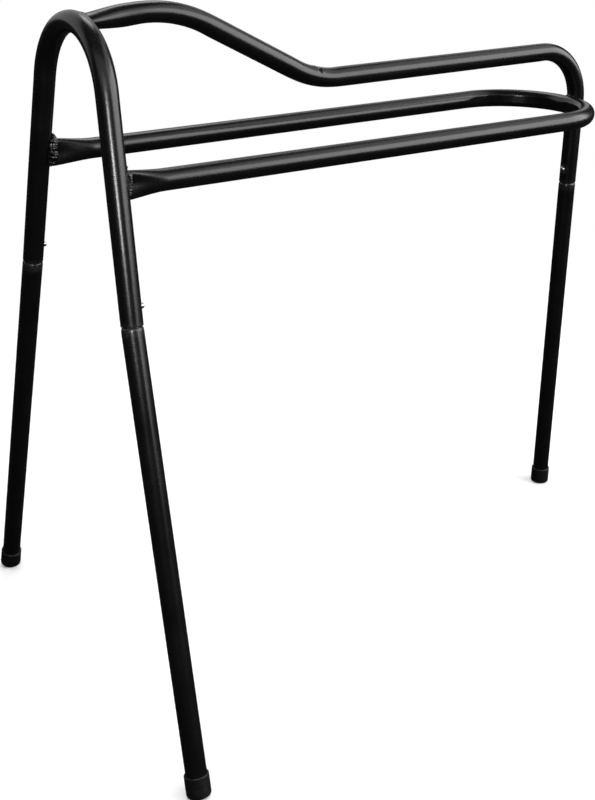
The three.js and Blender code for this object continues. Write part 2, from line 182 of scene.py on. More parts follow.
def extent(node, direction, side=None):
    """Lowest and highest reach of a CAD node along a direction; side picks the part at -Y or +Y."""
    points, _ = arrays(node)
    if side is not None:
        points = points[points[:, 1] * side > 0]
    reach = points @ np.array(direction)
    return reach.min(), reach.max()


def widest(node, point, direction):
    """Largest distance of a CAD node's surface from a line."""
    points, _ = arrays(node)
    offset = points - np.array(point)
    along = offset @ np.array(direction)
    return np.linalg.norm(offset - along[:, None] * np.array(direction), axis=1).max()


def lerp(a, b, share):
    """The value that lies a share of the way from a to b."""
    return a + (b - a) * share


def in_box(node, x=0.5, y=0.5, z=0.5):
    """A place in a CAD node's box, as shares of its three sides."""
    low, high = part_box(node)
    return Vector((lerp(low.x, high.x, x), lerp(low.y, high.y, y), lerp(low.z, high.z, z)))


JOINTS = {joint["name"]: joint for joint in frame["joints"]}


def joint_axis(name):
    """Unit direction in which a joint slides."""
    return Vector(JOINTS[name]["axis"]).normalized()


class Run:
    """The centre line of a straight stretch of tube."""

    def __init__(self, point, direction):
        self.point = point
        self.direction = direction.normalized()

    def at(self, axis, value):
        """The point whose coordinate along `axis` is `value`."""
        return self.point + self.direction * ((value - self.point.dot(axis)) / self.direction.dot(axis))

    def meets(self, other):
        """Where two lines cross, or come closest."""
        across = other.direction.cross(self.direction.cross(other.direction))
        distance = (other.point - self.point).dot(across) / self.direction.dot(across)
        return self.point + self.direction * distance


def cut_run(node, first, second, normal):
    """The straight run between two cuts through a CAD node."""
    start = tube_centre(node, first, normal)
    return Run(start, tube_centre(node, second, normal) - start)


def bend_radius(node, before, after):
    """Radius of the bend that joins two runs, from how far it cuts the corner."""
    corner = before.meets(after)
    turn = before.direction.angle(after.direction)
    cut = tube_centre(node, corner, (before.direction + after.direction).normalized())
    return (cut - corner).length / (1 / math.cos(turn / 2) - 1)


# ---------------------------------------------------------------- centre lines


class CentreLine:
    """Straight runs joined by round bends."""

    def __init__(self, corners, radii):
        self.parts = []
        self.bends = []
        self.length = 0
        start = corners[0]
        for i, radius in enumerate(radii):
            before = (corners[i + 1] - corners[i]).normalized()
            after = (corners[i + 2] - corners[i + 1]).normalized()
            turn = before.angle(after)
            entry = corners[i + 1] - before * radius * math.tan(turn / 2)
            self.add_straight(start, entry)
            start = self.add_bend(entry, before, after, turn, radius)
        self.add_straight(start, corners[-1])
        self.corners = corners

    def add_straight(self, start, end):
        """Goes straight on to a point."""
        direction = (end - start).normalized()
        self.parts.append((self.length, lambda s: (start + direction * s, direction)))
        self.length += (end - start).length

    def add_bend(self, entry, before, after, turn, radius):
        """Turns from one direction to another, and gives the point where the bend ends."""
        inward = (after - before * after.dot(before)).normalized()
        centre = entry + inward * radius

        def on_arc(s):
            angle = s / radius
            direction = before * math.cos(angle) + inward * math.sin(angle)
            spoke = before * math.sin(angle) - inward * math.cos(angle)
            return centre + spoke * radius, direction

        begin = self.length
        self.parts.append((begin, on_arc))
        self.length += radius * turn
        self.bends.append((begin, self.length))
        return on_arc(radius * turn)[0]

    def at(self, distance):
        """Point and direction at a distance from the start; past either end the line runs straight on."""
        reached = [part for part in self.parts if part[0] <= max(distance, 0)]
        begin, place = reached[-1]
        return place(distance - begin)

    def normal(self):
        """Unit normal of the plane that the first bend lies in."""
        first, second, third = self.corners[:3]
        return (second - first).cross(third - second).normalized()

    def samples(self, step=1 * MM):
        """Points all along the line."""
        count = int(self.length / step)
        return np.array([self.at(self.length * i / count)[0] for i in range(count + 1)])


def socket_mouth(side):
    """Centre of the sawn end that a leg plugs into."""
    up = -joint_axis(f"leg_{side}_pull")
    if side == "rear":
        centre = tube_centre("spine_tube", in_box("spine_tube", x=1, z=0.08), UP)
        lowest = extent("spine_tube", up)[0]
    else:
        half = -1 if side == "left" else 1
        centre = tube_centre("front_arch", in_box("front_arch", y=(half + 1) / 2, z=0.08), UP)
        lowest = extent("front_arch", up, half)[0]
    return Run(centre, up).at(up, lowest)


def arch_line():
    """From the left socket over the top to the right socket."""
    node = "front_arch"
    left = cut_run(node, in_box(node, y=0, z=0.1), in_box(node, y=0.3, z=0.6), UP)
    right = cut_run(node, in_box(node, y=0.7, z=0.6), in_box(node, y=1, z=0.1), UP)
    corners = [socket_mouth("left"), left.meets(right), socket_mouth("right")]
    return CentreLine(corners, [bend_radius(node, left, right)])


def spine_line():
    """From the arch over the hump, down the slope, along the back and down to the rear socket."""
    node = "spine_tube"
    rise = cut_run(node, in_box(node, x=0.055, z=1), in_box(node, x=0.07, z=1), ALONG)
    slope = cut_run(node, in_box(node, x=0.22, z=1), in_box(node, x=0.32, z=1), ALONG)
    back = cut_run(node, in_box(node, x=0.45, z=1), in_box(node, x=0.8, z=1), ALONG)
    drop = cut_run(node, in_box(node, x=1, z=0.35), in_box(node, x=1, z=0.08), UP)
    runs = [rise, slope, back, drop]
    corners = [a.meets(b) for a, b in zip(runs, runs[1:])]
    radii = [bend_radius(node, a, b) for a, b in zip(runs, runs[1:])]
    start = rise.at(ALONG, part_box(node)[0].x)
    return CentreLine([start, *corners, socket_mouth("rear")], radii)


def rail_line():
    """From the left rail's front end round the rear of the loop to the right rail's front end."""
    node = "side_rail_loop"
    left = cut_run(node, in_box(node, x=0.2, y=0), in_box(node, x=0.8, y=0), ALONG)
    right = cut_run(node, in_box(node, x=0.8, y=1), in_box(node, x=0.2, y=1), ALONG)
    rear = Run(tube_centre(node, in_box(node, x=1), ACROSS), ACROSS)
    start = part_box(node)[0].x
    corners = [left.at(ALONG, start), left.meets(rear), right.meets(rear), right.at(ALONG, start)]
    return CentreLine(corners, [bend_radius(node, left, rear), bend_radius(node, rear, right)])


class Leg:
    """Axes of a leg: its neck in the socket above, and its lower tube down to the floor."""

    def __init__(self, side):
        node, cap, button = f"leg_{side}", f"foot_cap_{side}", f"snap_button_{side}"
        self.side = side
        self.mouth = socket_mouth(side)
        self.up = -joint_axis(f"leg_{side}_pull")
        self.out = -joint_axis(f"button_{side}_press")
        lower = cut_run(node, in_box(node, z=0.7), in_box(node, z=0.15), UP)
        self.down = lower.direction
        self.knee = Run(self.mouth, self.up).meets(lower)
        self.neck_top = self.mouth + self.up * (extent(node, self.up)[1] - self.mouth.dot(self.up))
        self.end = lower.at(self.down, extent(node, self.down)[1])
        self.sole = lower.at(self.down, extent(cap, self.down)[1])
        self.cap_top = lower.at(self.down, extent(cap, self.down)[0])
        self.cap_radius = widest(cap, self.sole, self.down)
        axis = Run(self.mouth, self.up)
        self.button_foot = axis.at(self.up, sum(extent(button, self.up)) / 2)
        self.button_reach = [value - self.mouth.dot(self.out) for value in extent(button, self.out)]
        self.line = CentreLine([self.neck_top, self.knee, self.end], [SHOULDER * 2])


ARCH = arch_line()
SPINE = spine_line()
RAILS = rail_line()
LEGS = [Leg(side) for side in ("left", "right", "rear")]
RADIUS = (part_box("leg_rear")[1].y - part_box("leg_rear")[0].y) / 2
BORE = RADIUS - WALL
NECK = BORE - FIT_GAP
FLANGE_RADIUS = widest("snap_button_left", LEGS[0].button_foot, LEGS[0].out)
PIN_RADIUS = FLANGE_RADIUS - BUTTON["flange"]
BUTTON_HOLE = PIN_RADIUS + FIT_GAP


# ---------------------------------------------------------------- mesh making


def smooth(value, low, high):
    """0 below low, 1 above high, with a soft S between."""
    share = np.clip((value - low) / (high - low), 0, 1)
    return share * share * (3 - 2 * share)


def hump(value, centre, width):
    """A round hump of height 1."""
    return np.exp(-(((value - centre) / width) ** 2))


def arc(centre, radius, start, end, steps=4):
    """Points of a round edge in a half section, by angle in degrees."""
    points = []
    for i in range(steps + 1):
        angle = math.radians(lerp(start, end, i / steps))
        points.append((centre[0] + radius * math.cos(angle), centre[1] + radius * math.sin(angle)))
    return points


def shaded(mesh, sharp_degrees=40):
    """Smooth shading with hard edges where faces meet steeply."""
    mesh.shade_smooth()
    mesh.set_sharp_from_angle(angle=math.radians(sharp_degrees))


def new_object(name, points, faces):
    """An object with smooth shading, in the scene."""
    mesh = bpy.data.meshes.new(name)
    mesh.from_pydata([tuple(p) for p in points], [], faces)
    mesh.validate()
    shaded(mesh)
    made = bpy.data.objects.new(name, mesh)
    bpy.context.scene.collection.objects.link(made)
    return made


def loft_faces(rings, sides):
    """Quads between successive rings of points."""
    faces = []
    for i in range(rings - 1):
        for j in range(sides):
            k = (j + 1) % sides
            low, high = i * sides, (i + 1) * sides
            faces.append((low + j, low + k, high + k, high + j))
    return faces


def loft(name, rings):
    """A closed body through rings of points, with a pole in the middle of its first and last ring."""
    count, sides = rings.shape[:2]
    points = np.vstack([rings.reshape(-1, 3), rings[0].mean(0), rings[-1].mean(0)])
    faces = loft_faces(count, sides)
    start, end = count * sides, count * sides + 1
    last = (count - 1) * sides
    for j in range(sides):
        k = (j + 1) % sides
        faces.append((start, k, j))
        faces.append((end, last + j, last + k))
    return new_object(name, points, faces)


def loop_loft(name, rings):
    """A closed body through rings of points that come back to the first ring."""
    count, sides = rings.shape[:2]
    faces = loft_faces(count, sides)
    last = (count - 1) * sides
    for j in range(sides):
        k = (j + 1) % sides
        faces.append((last + j, last + k, k, j))
    return new_object(name, rings.reshape(-1, 3), faces)


def lathe(name, section, base, axis, sides=SIDES):
    """A closed body turned about an axis from a half section of (radius, height) points."""
    axis = axis.normalized()
    u = axis.orthogonal().normalized()
    v = axis.cross(u)
    rings = []
    for radius, height in section:
        ring = []
        for j in range(sides):
            angle = 2 * math.pi * j / sides
            ring.append(base + axis * height + (u * math.cos(angle) + v * math.sin(angle)) * radius)
        rings.append(ring)
    return loft(name, np.array(rings))


def carve(piece, cutter):
    """Takes the cutter's body out of the piece's, and deletes the cutter."""
    modifier = piece.modifiers.new("carve", "BOOLEAN")
    modifier.operation = "DIFFERENCE"
    modifier.solver = "EXACT"
    modifier.object = cutter
    graph = bpy.context.evaluated_depsgraph_get()
    carved = bpy.data.meshes.new_from_object(piece.evaluated_get(graph))
    piece.modifiers.clear()
    piece.data = carved
    shaded(carved)
    bpy.data.objects.remove(cutter)


# ---------------------------------------------------------------- tubes


def stations(line, fine=()):
    """Distances along a line: wide steps on straight runs, narrow ones in bends and fine stretches."""
    stretches = [*line.bends, *fine]
    distances = [0.0]
    while distances[-1] < line.length:
        here = distances[-1]
        close = any(a - STRAIGHT_STEP <= here <= b + STRAIGHT_STEP for a, b in stretches)
        distances.append(here + (FINE_STEP if close else STRAIGHT_STEP))
    return np.array(distances[:-1]) * line.length / distances[-2]


def mouth(end, inward, bore, radius, depth=BORE_DEPTH):
    """Section points of an open tube end, from deep in its bore out to its round skin."""
    section = [(depth, 0.4 * bore), (depth, bore), (depth / 2, bore), (2 * LIP, bore), (0.4 * LIP, bore)]
    for degrees in (90, 45, 0):
        angle = math.radians(degrees)
        section.append((LIP * (1 - math.sin(angle)), radius - LIP * (1 - math.cos(angle))))
    section.append((2.5 * LIP, radius))
    return [(end + inward * s, r) for s, r in section]


def stopped(end, inward, radius):
    """Section points of a closed end that is hidden in another piece."""
    return [(end, 0.4 * radius), (end, radius), (end + inward * FINE_STEP, radius)]


class Tube:
    """Rings of points round a centre line, which dents and presses can move before the body is made."""

    def __init__(self, line, reference, section):
        self.line = line
        self.s = np.array([s for s, _ in section])
        self.r = np.array([r for _, r in section])
        places = [line.at(s) for s in self.s]
        self.centre = np.array([point for point, _ in places])
        tangent = np.array([direction for _, direction in places])
        second = np.array(reference) - tangent * (tangent @ np.array(reference))[:, None]
        self.second = second / np.linalg.norm(second, axis=1)[:, None]
        self.first = np.cross(self.second, tangent)
        self.angle = np.arange(SIDES) * 2 * math.pi / SIDES
        self.u = self.r[:, None] * np.cos(self.angle)
        self.v = self.r[:, None] * np.sin(self.angle)

    def skin(self):
        """1 on the outer skin's rings, 0 on the bore's."""
        return (self.r > RADIUS - WALL / 2)[:, None]

    def inside_bends(self, fade=12 * MM):
        """How far each ring is inside a bend, from 0 to 1."""
        share = np.zeros(len(self.s))
        for begin, end in self.line.bends:
            entering = smooth(self.s, begin - fade, begin + fade)
            leaving = smooth(-self.s, -end - fade, -end + fade)
            share = np.maximum(share, entering * leaving)
        return share[:, None]

    def squeeze_bends(self):
        """Bending leaves the tube a little oval."""
        share = self.inside_bends()
        self.u = self.u * (1 - share * OVALITY["squeeze"])
        self.v = self.v * (1 + share * OVALITY["bulge"])

    def points(self):
        """The rings' points in space."""
        across = self.u[..., None] * self.first[:, None] + self.v[..., None] * self.second[:, None]
        return self.centre[:, None] + across

    def cope(self, points, other, at_end=False, reach=24 * MM):
        """Shortens the tube's end so that it sits round the skin of another tube; also gives the seam."""
        from_end = (self.line.length - self.s) if at_end else self.s
        _, direction = self.line.at(self.line.length if at_end else 0)
        inward = np.array(-direction if at_end else direction)
        skin_rings = np.nonzero((self.r > RADIUS - 1e-6) & (from_end < reach))[0]
        edge = points[skin_rings[-1] if at_end else skin_rings[0]]
        steps = np.arange(0, reach, 0.25 * MM)
        tries = edge[None] + inward * steps[:, None, None]
        clear = nearest_distance(tries.reshape(-1, 3), other).reshape(len(steps), -1) >= RADIUS + FIT_GAP
        cutback = steps[np.argmax(clear, axis=0)]
        share = np.clip(1 - from_end / reach, 0, 1)
        return points + (share[:, None] * cutback)[..., None] * inward, edge + cutback[:, None] * inward


def nearest_distance(points, line):
    """Distance of each point from a centre line."""
    samples = line.samples()
    best = np.full(len(points), np.inf)
    for chunk in np.array_split(samples, 16):
        gaps = np.linalg.norm(points[:, None] - chunk[None], axis=2).min(1)
        best = np.minimum(best, gaps)
    return best


def nearest_on(point, line):
    """The point of a centre line that is nearest to a point."""
    samples = line.samples()
    return samples[np.argmin(np.linalg.norm(samples - point, axis=1))]


def open_section(line, fine=(), start_open=True):
    """Section points of a whole tube that is open at its end, and open or stopped at its start."""
    margin = 3 * LIP
    skin = [(s, RADIUS) for s in stations(line, fine) if margin < s < line.length - margin]
    front = mouth(0, 1, BORE, RADIUS) if start_open else stopped(0, 1, RADIUS)
    rear = mouth(line.length, -1, BORE, RADIUS)
    return front + skin + rear[::-1]


def drill_for(leg):
    """A bar through the tube wall where the snap button stands."""
    section = [(POLE, 0), (BUTTON_HOLE, 0), (BUTTON_HOLE, 3 * WALL), (POLE, 3 * WALL)]
    return lathe("drill", section, leg.button_foot + leg.out * (BORE - WALL), leg.out, BUTTON_SIDES)


# ---------------------------------------------------------------- the frame's three tubes


def front_arch():
    """An inverted U, open at both ends."""
    sockets = [(0, SOCKET), (ARCH.length - SOCKET, ARCH.length)]
    tube = Tube(ARCH, ARCH.normal(), open_section(ARCH, sockets))
    tube.squeeze_bends()
    piece = loft("arch_tube", tube.points())
    for leg in LEGS[:2]:
        carve(piece, drill_for(leg))
    return piece


def spine_tube():
    """Coped round the arch at the front and open at the rear socket."""
    fine = [(0, SPINE_PINCH["end"]), (SPINE.length - SOCKET, SPINE.length)]
    tube = Tube(SPINE, ACROSS, open_section(SPINE, fine, start_open=False))
    tube.squeeze_bends()
    pinch_front_end(tube)
    kink_valley(tube)
    points, seam = tube.cope(tube.points(), ARCH)
    piece = loft("spine_bar", points)
    carve(piece, drill_for(LEGS[2]))
    return piece, seam


def pinch_front_end(tube):
    """The front end is squeezed a little flat."""
    full = smooth(tube.s, SPINE_PINCH["start"], SPINE_PINCH["end"])[:, None]
    tube.u = tube.u * lerp(SPINE_PINCH["height"], 1, full)
    tube.v = tube.v * lerp(SPINE_PINCH["width"], 1, full)


def kink_valley(tube):
    """The inner wall of the sharpest bend has buckled: a raised pad, and a groove across it."""
    centre = sum(tube.line.bends[1]) / 2
    top = smooth(-np.cos(tube.angle), 0.25, 0.95)[None]
    pad = VALLEY_KINK["pad"] * hump(tube.s, centre - VALLEY_KINK["shift"] / 2, VALLEY_KINK["pad_length"])
    groove = VALLEY_KINK["groove"] * hump(tube.s, centre + VALLEY_KINK["shift"], VALLEY_KINK["width"])
    growth = 1 + (pad - groove)[:, None] * top * tube.skin() / RADIUS
    tube.u = tube.u * growth
    tube.v = tube.v * growth


def side_rails():
    """A hairpin loop whose pressed front ends are coped round the arch."""
    reach = RAIL_PRESS["length"]
    pressed_ends = [(0, reach), (RAILS.length - reach, RAILS.length)]
    tube = Tube(RAILS, RAILS.normal(), open_section(RAILS, pressed_ends))
    tube.squeeze_bends()
    crease_rear_bends(tube)
    press_rail_ends(tube)
    points, left_seam = tube.cope(tube.points(), ARCH)
    points, right_seam = tube.cope(points, ARCH, at_end=True)
    return loft("rail_loop_tube", points), left_seam, right_seam


def crease_rear_bends(tube):
    """The rear bends' inner wall has gone flat, with a crease above and below it."""
    share = tube.inside_bends(REAR_CREASE["fade"] / 2)
    chord = lerp(1.0, REAR_CREASE["chord"], share) * tube.r[:, None]
    wave = REAR_CREASE["ripple"] * np.sin(2 * math.pi * tube.s / REAR_CREASE["pitch"])[:, None] * share
    from_inside = math.pi - np.abs(tube.angle[None] - math.pi)
    crease = hump(from_inside, REAR_CREASE["angle"], REAR_CREASE["angle_width"])
    groove = REAR_CREASE["groove"] * share * crease
    tube.u = np.minimum(tube.u, chord + wave * tube.skin()) * (1 - groove / RADIUS)
    tube.v = tube.v * (1 - groove / RADIUS)


def pressed(angle, width, rim, waist):
    """Section of a tube end that is pressed flat: two round rims, a waist inside and a dent outside."""
    v = width / 2 * np.sin(angle)
    straight = (width - rim) / 2
    past_straight = np.maximum(np.abs(v) - straight, 0)
    flat = np.sqrt(np.maximum((rim / 2) ** 2 - past_straight**2, 0))
    waisted = flat - (rim - waist) / 2 * (1 - smooth(np.abs(v), 0, straight))
    dented = flat - RAIL_DENT["depth"] * hump(v, RAIL_DENT["up"], RAIL_DENT["width"])
    return np.where(np.cos(angle) > 0, waisted, -dented), v


def press_rail_ends(tube):
    """Both front ends are pressed flat and upright, and set a little outward."""
    from_end = np.minimum(tube.s, tube.line.length - tube.s)
    share = 1 - smooth(from_end, -0.1 * RAIL_PRESS["length"], RAIL_PRESS["length"])[:, None]
    size = [RAIL_PRESS["width"], RAIL_PRESS["rim"], RAIL_PRESS["waist"]]
    scale = tube.r[:, None] / np.where(tube.skin(), RADIUS, BORE)
    outer = pressed(tube.angle[None], *size)
    inner = pressed(tube.angle[None], *[value - 2 * WALL for value in size])
    u = np.where(tube.skin(), outer[0], inner[0]) * scale
    v = np.where(tube.skin(), outer[1], inner[1]) * scale
    tube.u = lerp(tube.u, u, share) - RAIL_PRESS["shift"] * share
    tube.v = lerp(tube.v, v, share)


# ---------------------------------------------------------------- welds


def even_loop(points, step):
    """A closed curve's points, evenly spaced and rounded off a little."""
    points = np.vstack([points, points[:1]])
    run = np.concatenate([[0], np.cumsum(np.linalg.norm(np.diff(points, axis=0), axis=1))])
    count = int(run[-1] / step)
    at = np.arange(count) * run[-1] / count
    loop = np.array([np.interp(at, run, points[:, k]) for k in range(3)]).T
    for _ in range(ROUNDING_PASSES):
        loop = (np.roll(loop, 1, 0) + 2 * loop + np.roll(loop, -1, 0)) / 4
    return loop


def weld_bead(name, seam, radius, seed):
    """A lumpy, rippled bead along a closed seam; radius is one size, or one for each seam point."""
    loop = even_loop(seam, BEAD_SURFACE["step"])
    nearest = np.argmin(np.linalg.norm(loop[:, None] - seam[None], axis=2), axis=1)
    size = np.broadcast_to(radius, len(seam))[nearest]
    tangent = np.roll(loop, -1, 0) - np.roll(loop, 1, 0)
    tangent /= np.linalg.norm(tangent, axis=1)[:, None]
    outward = loop - loop.mean(0)
    outward -= tangent * (outward * tangent).sum(1)[:, None]
    outward /= np.linalg.norm(outward, axis=1)[:, None]
    side = np.cross(tangent, outward)
    run = np.arange(len(loop)) * BEAD_SURFACE["step"]
    wave = np.abs(np.sin(math.pi * run / BEAD_SURFACE["pitch"])) - 0.6
    angle = (np.arange(BEAD_SIDES) * 2 * math.pi / BEAD_SIDES)[None, :, None]
    spokes = outward[:, None] * np.cos(angle) + side[:, None] * np.sin(angle)
    rings = loop[:, None] + spokes * (size * (1 + BEAD_SURFACE["ripple"] * wave))[:, None, None]
    lumps = np.array([lump_at(point, seed) for point in rings.reshape(-1, 3)]).reshape(rings.shape[:2])
    rings += spokes * (size[:, None] * BEAD_SURFACE["lump"] * lumps)[..., None]
    bead = loop_loft(name, rings)
    shaded(bead.data, 180)
    return bead


def lump_at(point, seed):
    """Two sizes of smooth noise."""
    place = Vector(point) / MM + Vector((seed * 37, 0, 0))
    return noise.noise(place / 4.2) + 0.4 * noise.noise(place / 1.9)


def rail_weld(name, seam, seed):
    """A fat fillet round a pressed rail end; it bridges the dent and runs out at the lower corner."""
    centre = seam.mean(0)
    middle_line = []
    sizes = []
    low, high = seam[:, 2].min(), seam[:, 2].max()
    for j, point in enumerate(seam):
        side = math.copysign(1, -centre[1] * math.cos(2 * math.pi * j / len(seam)))
        height = (point[2] - low) / (high - low)
        half = RAIL_PRESS["rim"] / 2 * min(1, 4 * (1 - height), 4 * height)  # narrow at both corners
        bridged = (point[0], centre[1] + side * half, point[2])
        axis_point = nearest_on(np.array(bridged), ARCH)
        point = axis_point + (bridged - axis_point) * RADIUS / np.linalg.norm(bridged - axis_point)
        outward = (point - centre) * (0, 1, 0.5)
        outward /= np.linalg.norm(outward)
        share = lerp(BEAD["rail_bottom"], 1, float(smooth(height, 0, 0.3)))
        share *= lerp(1, BEAD["rail_top"], float(smooth(height, 0.75, 1)))
        if side * centre[1] < 0:
            share *= BEAD["rail_inside"]
        sizes.append(BEAD["rail"] * share)
        off_arch = outward + BEAD["rail_back"] * np.array(ALONG)
        middle_line.append(point + off_arch * BEAD["rail_out"] * share)
    return weld_bead(name, np.array(middle_line), np.array(sizes), seed)


def loop_weld():
    """A ring of weld round the point where the loop's rear touches the spine's drop."""
    rear = RAILS.at(RAILS.length / 2)[0]
    drop = nearest_on(np.array(rear), SPINE)
    contact = (np.array(rear) + drop) / 2
    angles = np.linspace(0, 2 * math.pi, 60, endpoint=False)
    ring = [contact + BEAD["loop_ring"] * np.array((0, math.cos(a), math.sin(a))) for a in angles]
    return weld_bead("loop_weld_bead", np.array(ring), BEAD["loop"], 4)


# ---------------------------------------------------------------- legs


def leg_tube(leg):
    """Lower tube with a rounded shoulder and a reduced neck, hollow at both ends."""
    length = leg.line.length
    knee = (leg.knee - leg.neck_top).length
    top_of_shoulder = knee - SHOULDER
    step = RADIUS - NECK
    section = mouth(0, 1, NECK - WALL, NECK, depth=knee)
    section += [(s, NECK) for s in np.arange(4 * MM, top_of_shoulder - 1 * MM, 3 * MM)]
    for degrees in range(0, 91, 10):
        angle = math.radians(degrees)
        section.append((knee - SHOULDER * math.cos(angle), NECK + step * math.sin(angle)))
    skin = np.arange(knee + 1.5 * MM, length - 3 * MM, STRAIGHT_STEP)
    section += [(s, RADIUS) for s in skin]
    section += mouth(length, -1, BORE, RADIUS, depth=20 * MM)[::-1]
    tube = Tube(leg.line, leg.out, section)
    piece = loft(f"lower_leg_{leg.side}", tube.points())
    carve(piece, drill_for(leg))
    return piece


def foot_cap(leg):
    """Moulded rubber cup with a rounded rim, a fine parting line, and a sole worn level with the floor."""
    radius = leg.cap_radius
    height = (leg.sole - leg.cap_top).length
    bore = RADIUS + FIT_GAP / 2
    section = [(POLE, 0), (radius * 0.5, 0), (radius - CAP["edge"] * 1.2, 0)]
    section += arc((radius - CAP["edge"], CAP["edge"]), CAP["edge"], -90, 0, 8)
    section += [(radius, height * share) for share in (0.25, 0.4, 0.5)]
    section += [(radius - CAP["parting"], height * 0.52), (radius, height * 0.54)]
    section += [(radius, height * share) for share in (0.65, 0.8, 0.9)]
    section += arc((radius - CAP["rim"], height - CAP["rim"]), CAP["rim"], 0, 90, 6)
    section += arc((bore + CAP["lip"], height - CAP["lip"]), CAP["lip"], 90, 180, 3)
    section += [(bore, CAP["sole"] + 1 * MM), (bore, CAP["sole"]), (POLE, CAP["sole"])]
    piece = lathe(f"rubber_cap_{leg.side}", section, leg.sole, -leg.down, CAP_SIDES)
    for vertex in piece.data.vertices:
        vertex.co.z = max(vertex.co.z, 0)
    return piece


def snap_button(leg):
    """Domed pin on a flange."""
    low, high = leg.button_reach
    flange_top = low + BUTTON["flange"]
    bevel = BUTTON["bevel"]
    section = [(POLE, low), (FLANGE_RADIUS - bevel, low), (FLANGE_RADIUS, low + bevel)]
    section += [(FLANGE_RADIUS, flange_top - bevel), (FLANGE_RADIUS - bevel, flange_top)]
    section += [(PIN_RADIUS, flange_top), (PIN_RADIUS, (low + high) / 2)]
    for degrees in range(0, 91, 10):
        angle = math.radians(degrees)
        radius = PIN_RADIUS - BUTTON["edge"] * (1 - math.cos(angle))
        section.append((radius, high - BUTTON["dome"] * (1 - math.sin(angle))))
    section += [(PIN_RADIUS * 0.4, high + BUTTON["crown"] * 0.8), (POLE, high + BUTTON["crown"])]
    base = leg.button_foot - leg.out * (leg.button_foot - leg.mouth).dot(leg.out)
    return lathe(f"button_pin_{leg.side}", section, base, leg.out, BUTTON_SIDES)


def snap_spring(leg):
    """V strip inside the neck: a seat behind the button, a bend, and a leaf by the far wall.

    Also gives a point on that leaf and one on the seat.
    """
    node = f"snap_spring_{leg.side}"
    half = SPRING["thickness"] / 2
    low_out, high_out = [value - leg.mouth.dot(leg.out) for value in extent(node, leg.out)]
    low_up, high_up = [value - leg.mouth.dot(leg.up) for value in extent(node, leg.up)]
    seat, back = high_out - half, low_out + half
    bend_up = high_up - half - SPRING["bend"]
    line = [(seat, low_up), (seat, low_up + 2 * SPRING["seat"])]
    line += arc((SPRING["shift"], bend_up), SPRING["bend"], 0, 180, 14)
    line += [(back, low_up + SPRING["lift"])]
    line = rounded(line, SPRING["rounding"])
    wide = leg.up.cross(leg.out)
    rings = []
    for (x, y), (nx, ny) in zip(line, normals(line)):
        ring = []
        for across, deep in ribbon_outline(SPRING["width"], SPRING["thickness"]):
            place = leg.mouth + leg.out * (x + nx * deep) + leg.up * (y + ny * deep) + wide * across
            ring.append(place)
        rings.append(ring)
    piece = loft(f"v_spring_{leg.side}", np.array(rings))
    return piece, leg.button_foot + leg.out * back, leg.button_foot + leg.out * seat


def ribbon_outline(width, thickness):
    """Cross section of a strip with rolled edges."""
    half = thickness / 2
    straight = width / 2 - half
    points = [(straight * share, -half) for share in (-1, -0.5, 0, 0.5)]
    points += arc((straight, 0), half, -90, 90, 6)
    points += [(straight * share, half) for share in (0.5, 0, -0.5)]
    points += arc((-straight, 0), half, 90, 270, 6)[:-1]
    return points


def rounded(line, reach, steps=4):
    """A line with its corners rounded off, by cutting each corner again and again."""
    points = [Vector(point) for point in line]
    for _ in range(steps):
        made = [points[0]]
        for a, b in zip(points, points[1:]):
            cut = min(0.25 * (b - a).length, reach) / (b - a).length
            made += [a.lerp(b, cut), b.lerp(a, cut)]
        points = [*made, points[-1]]
    return [(point.x, point.y) for point in points]


def normals(line):
    """Unit normals along a flat line."""
    points = np.array(line)
    along = np.gradient(points, axis=0)
    along /= np.linalg.norm(along, axis=1)[:, None]
    return np.column_stack([-along[:, 1], along[:, 0]])


# ---------------------------------------------------------------- finishes


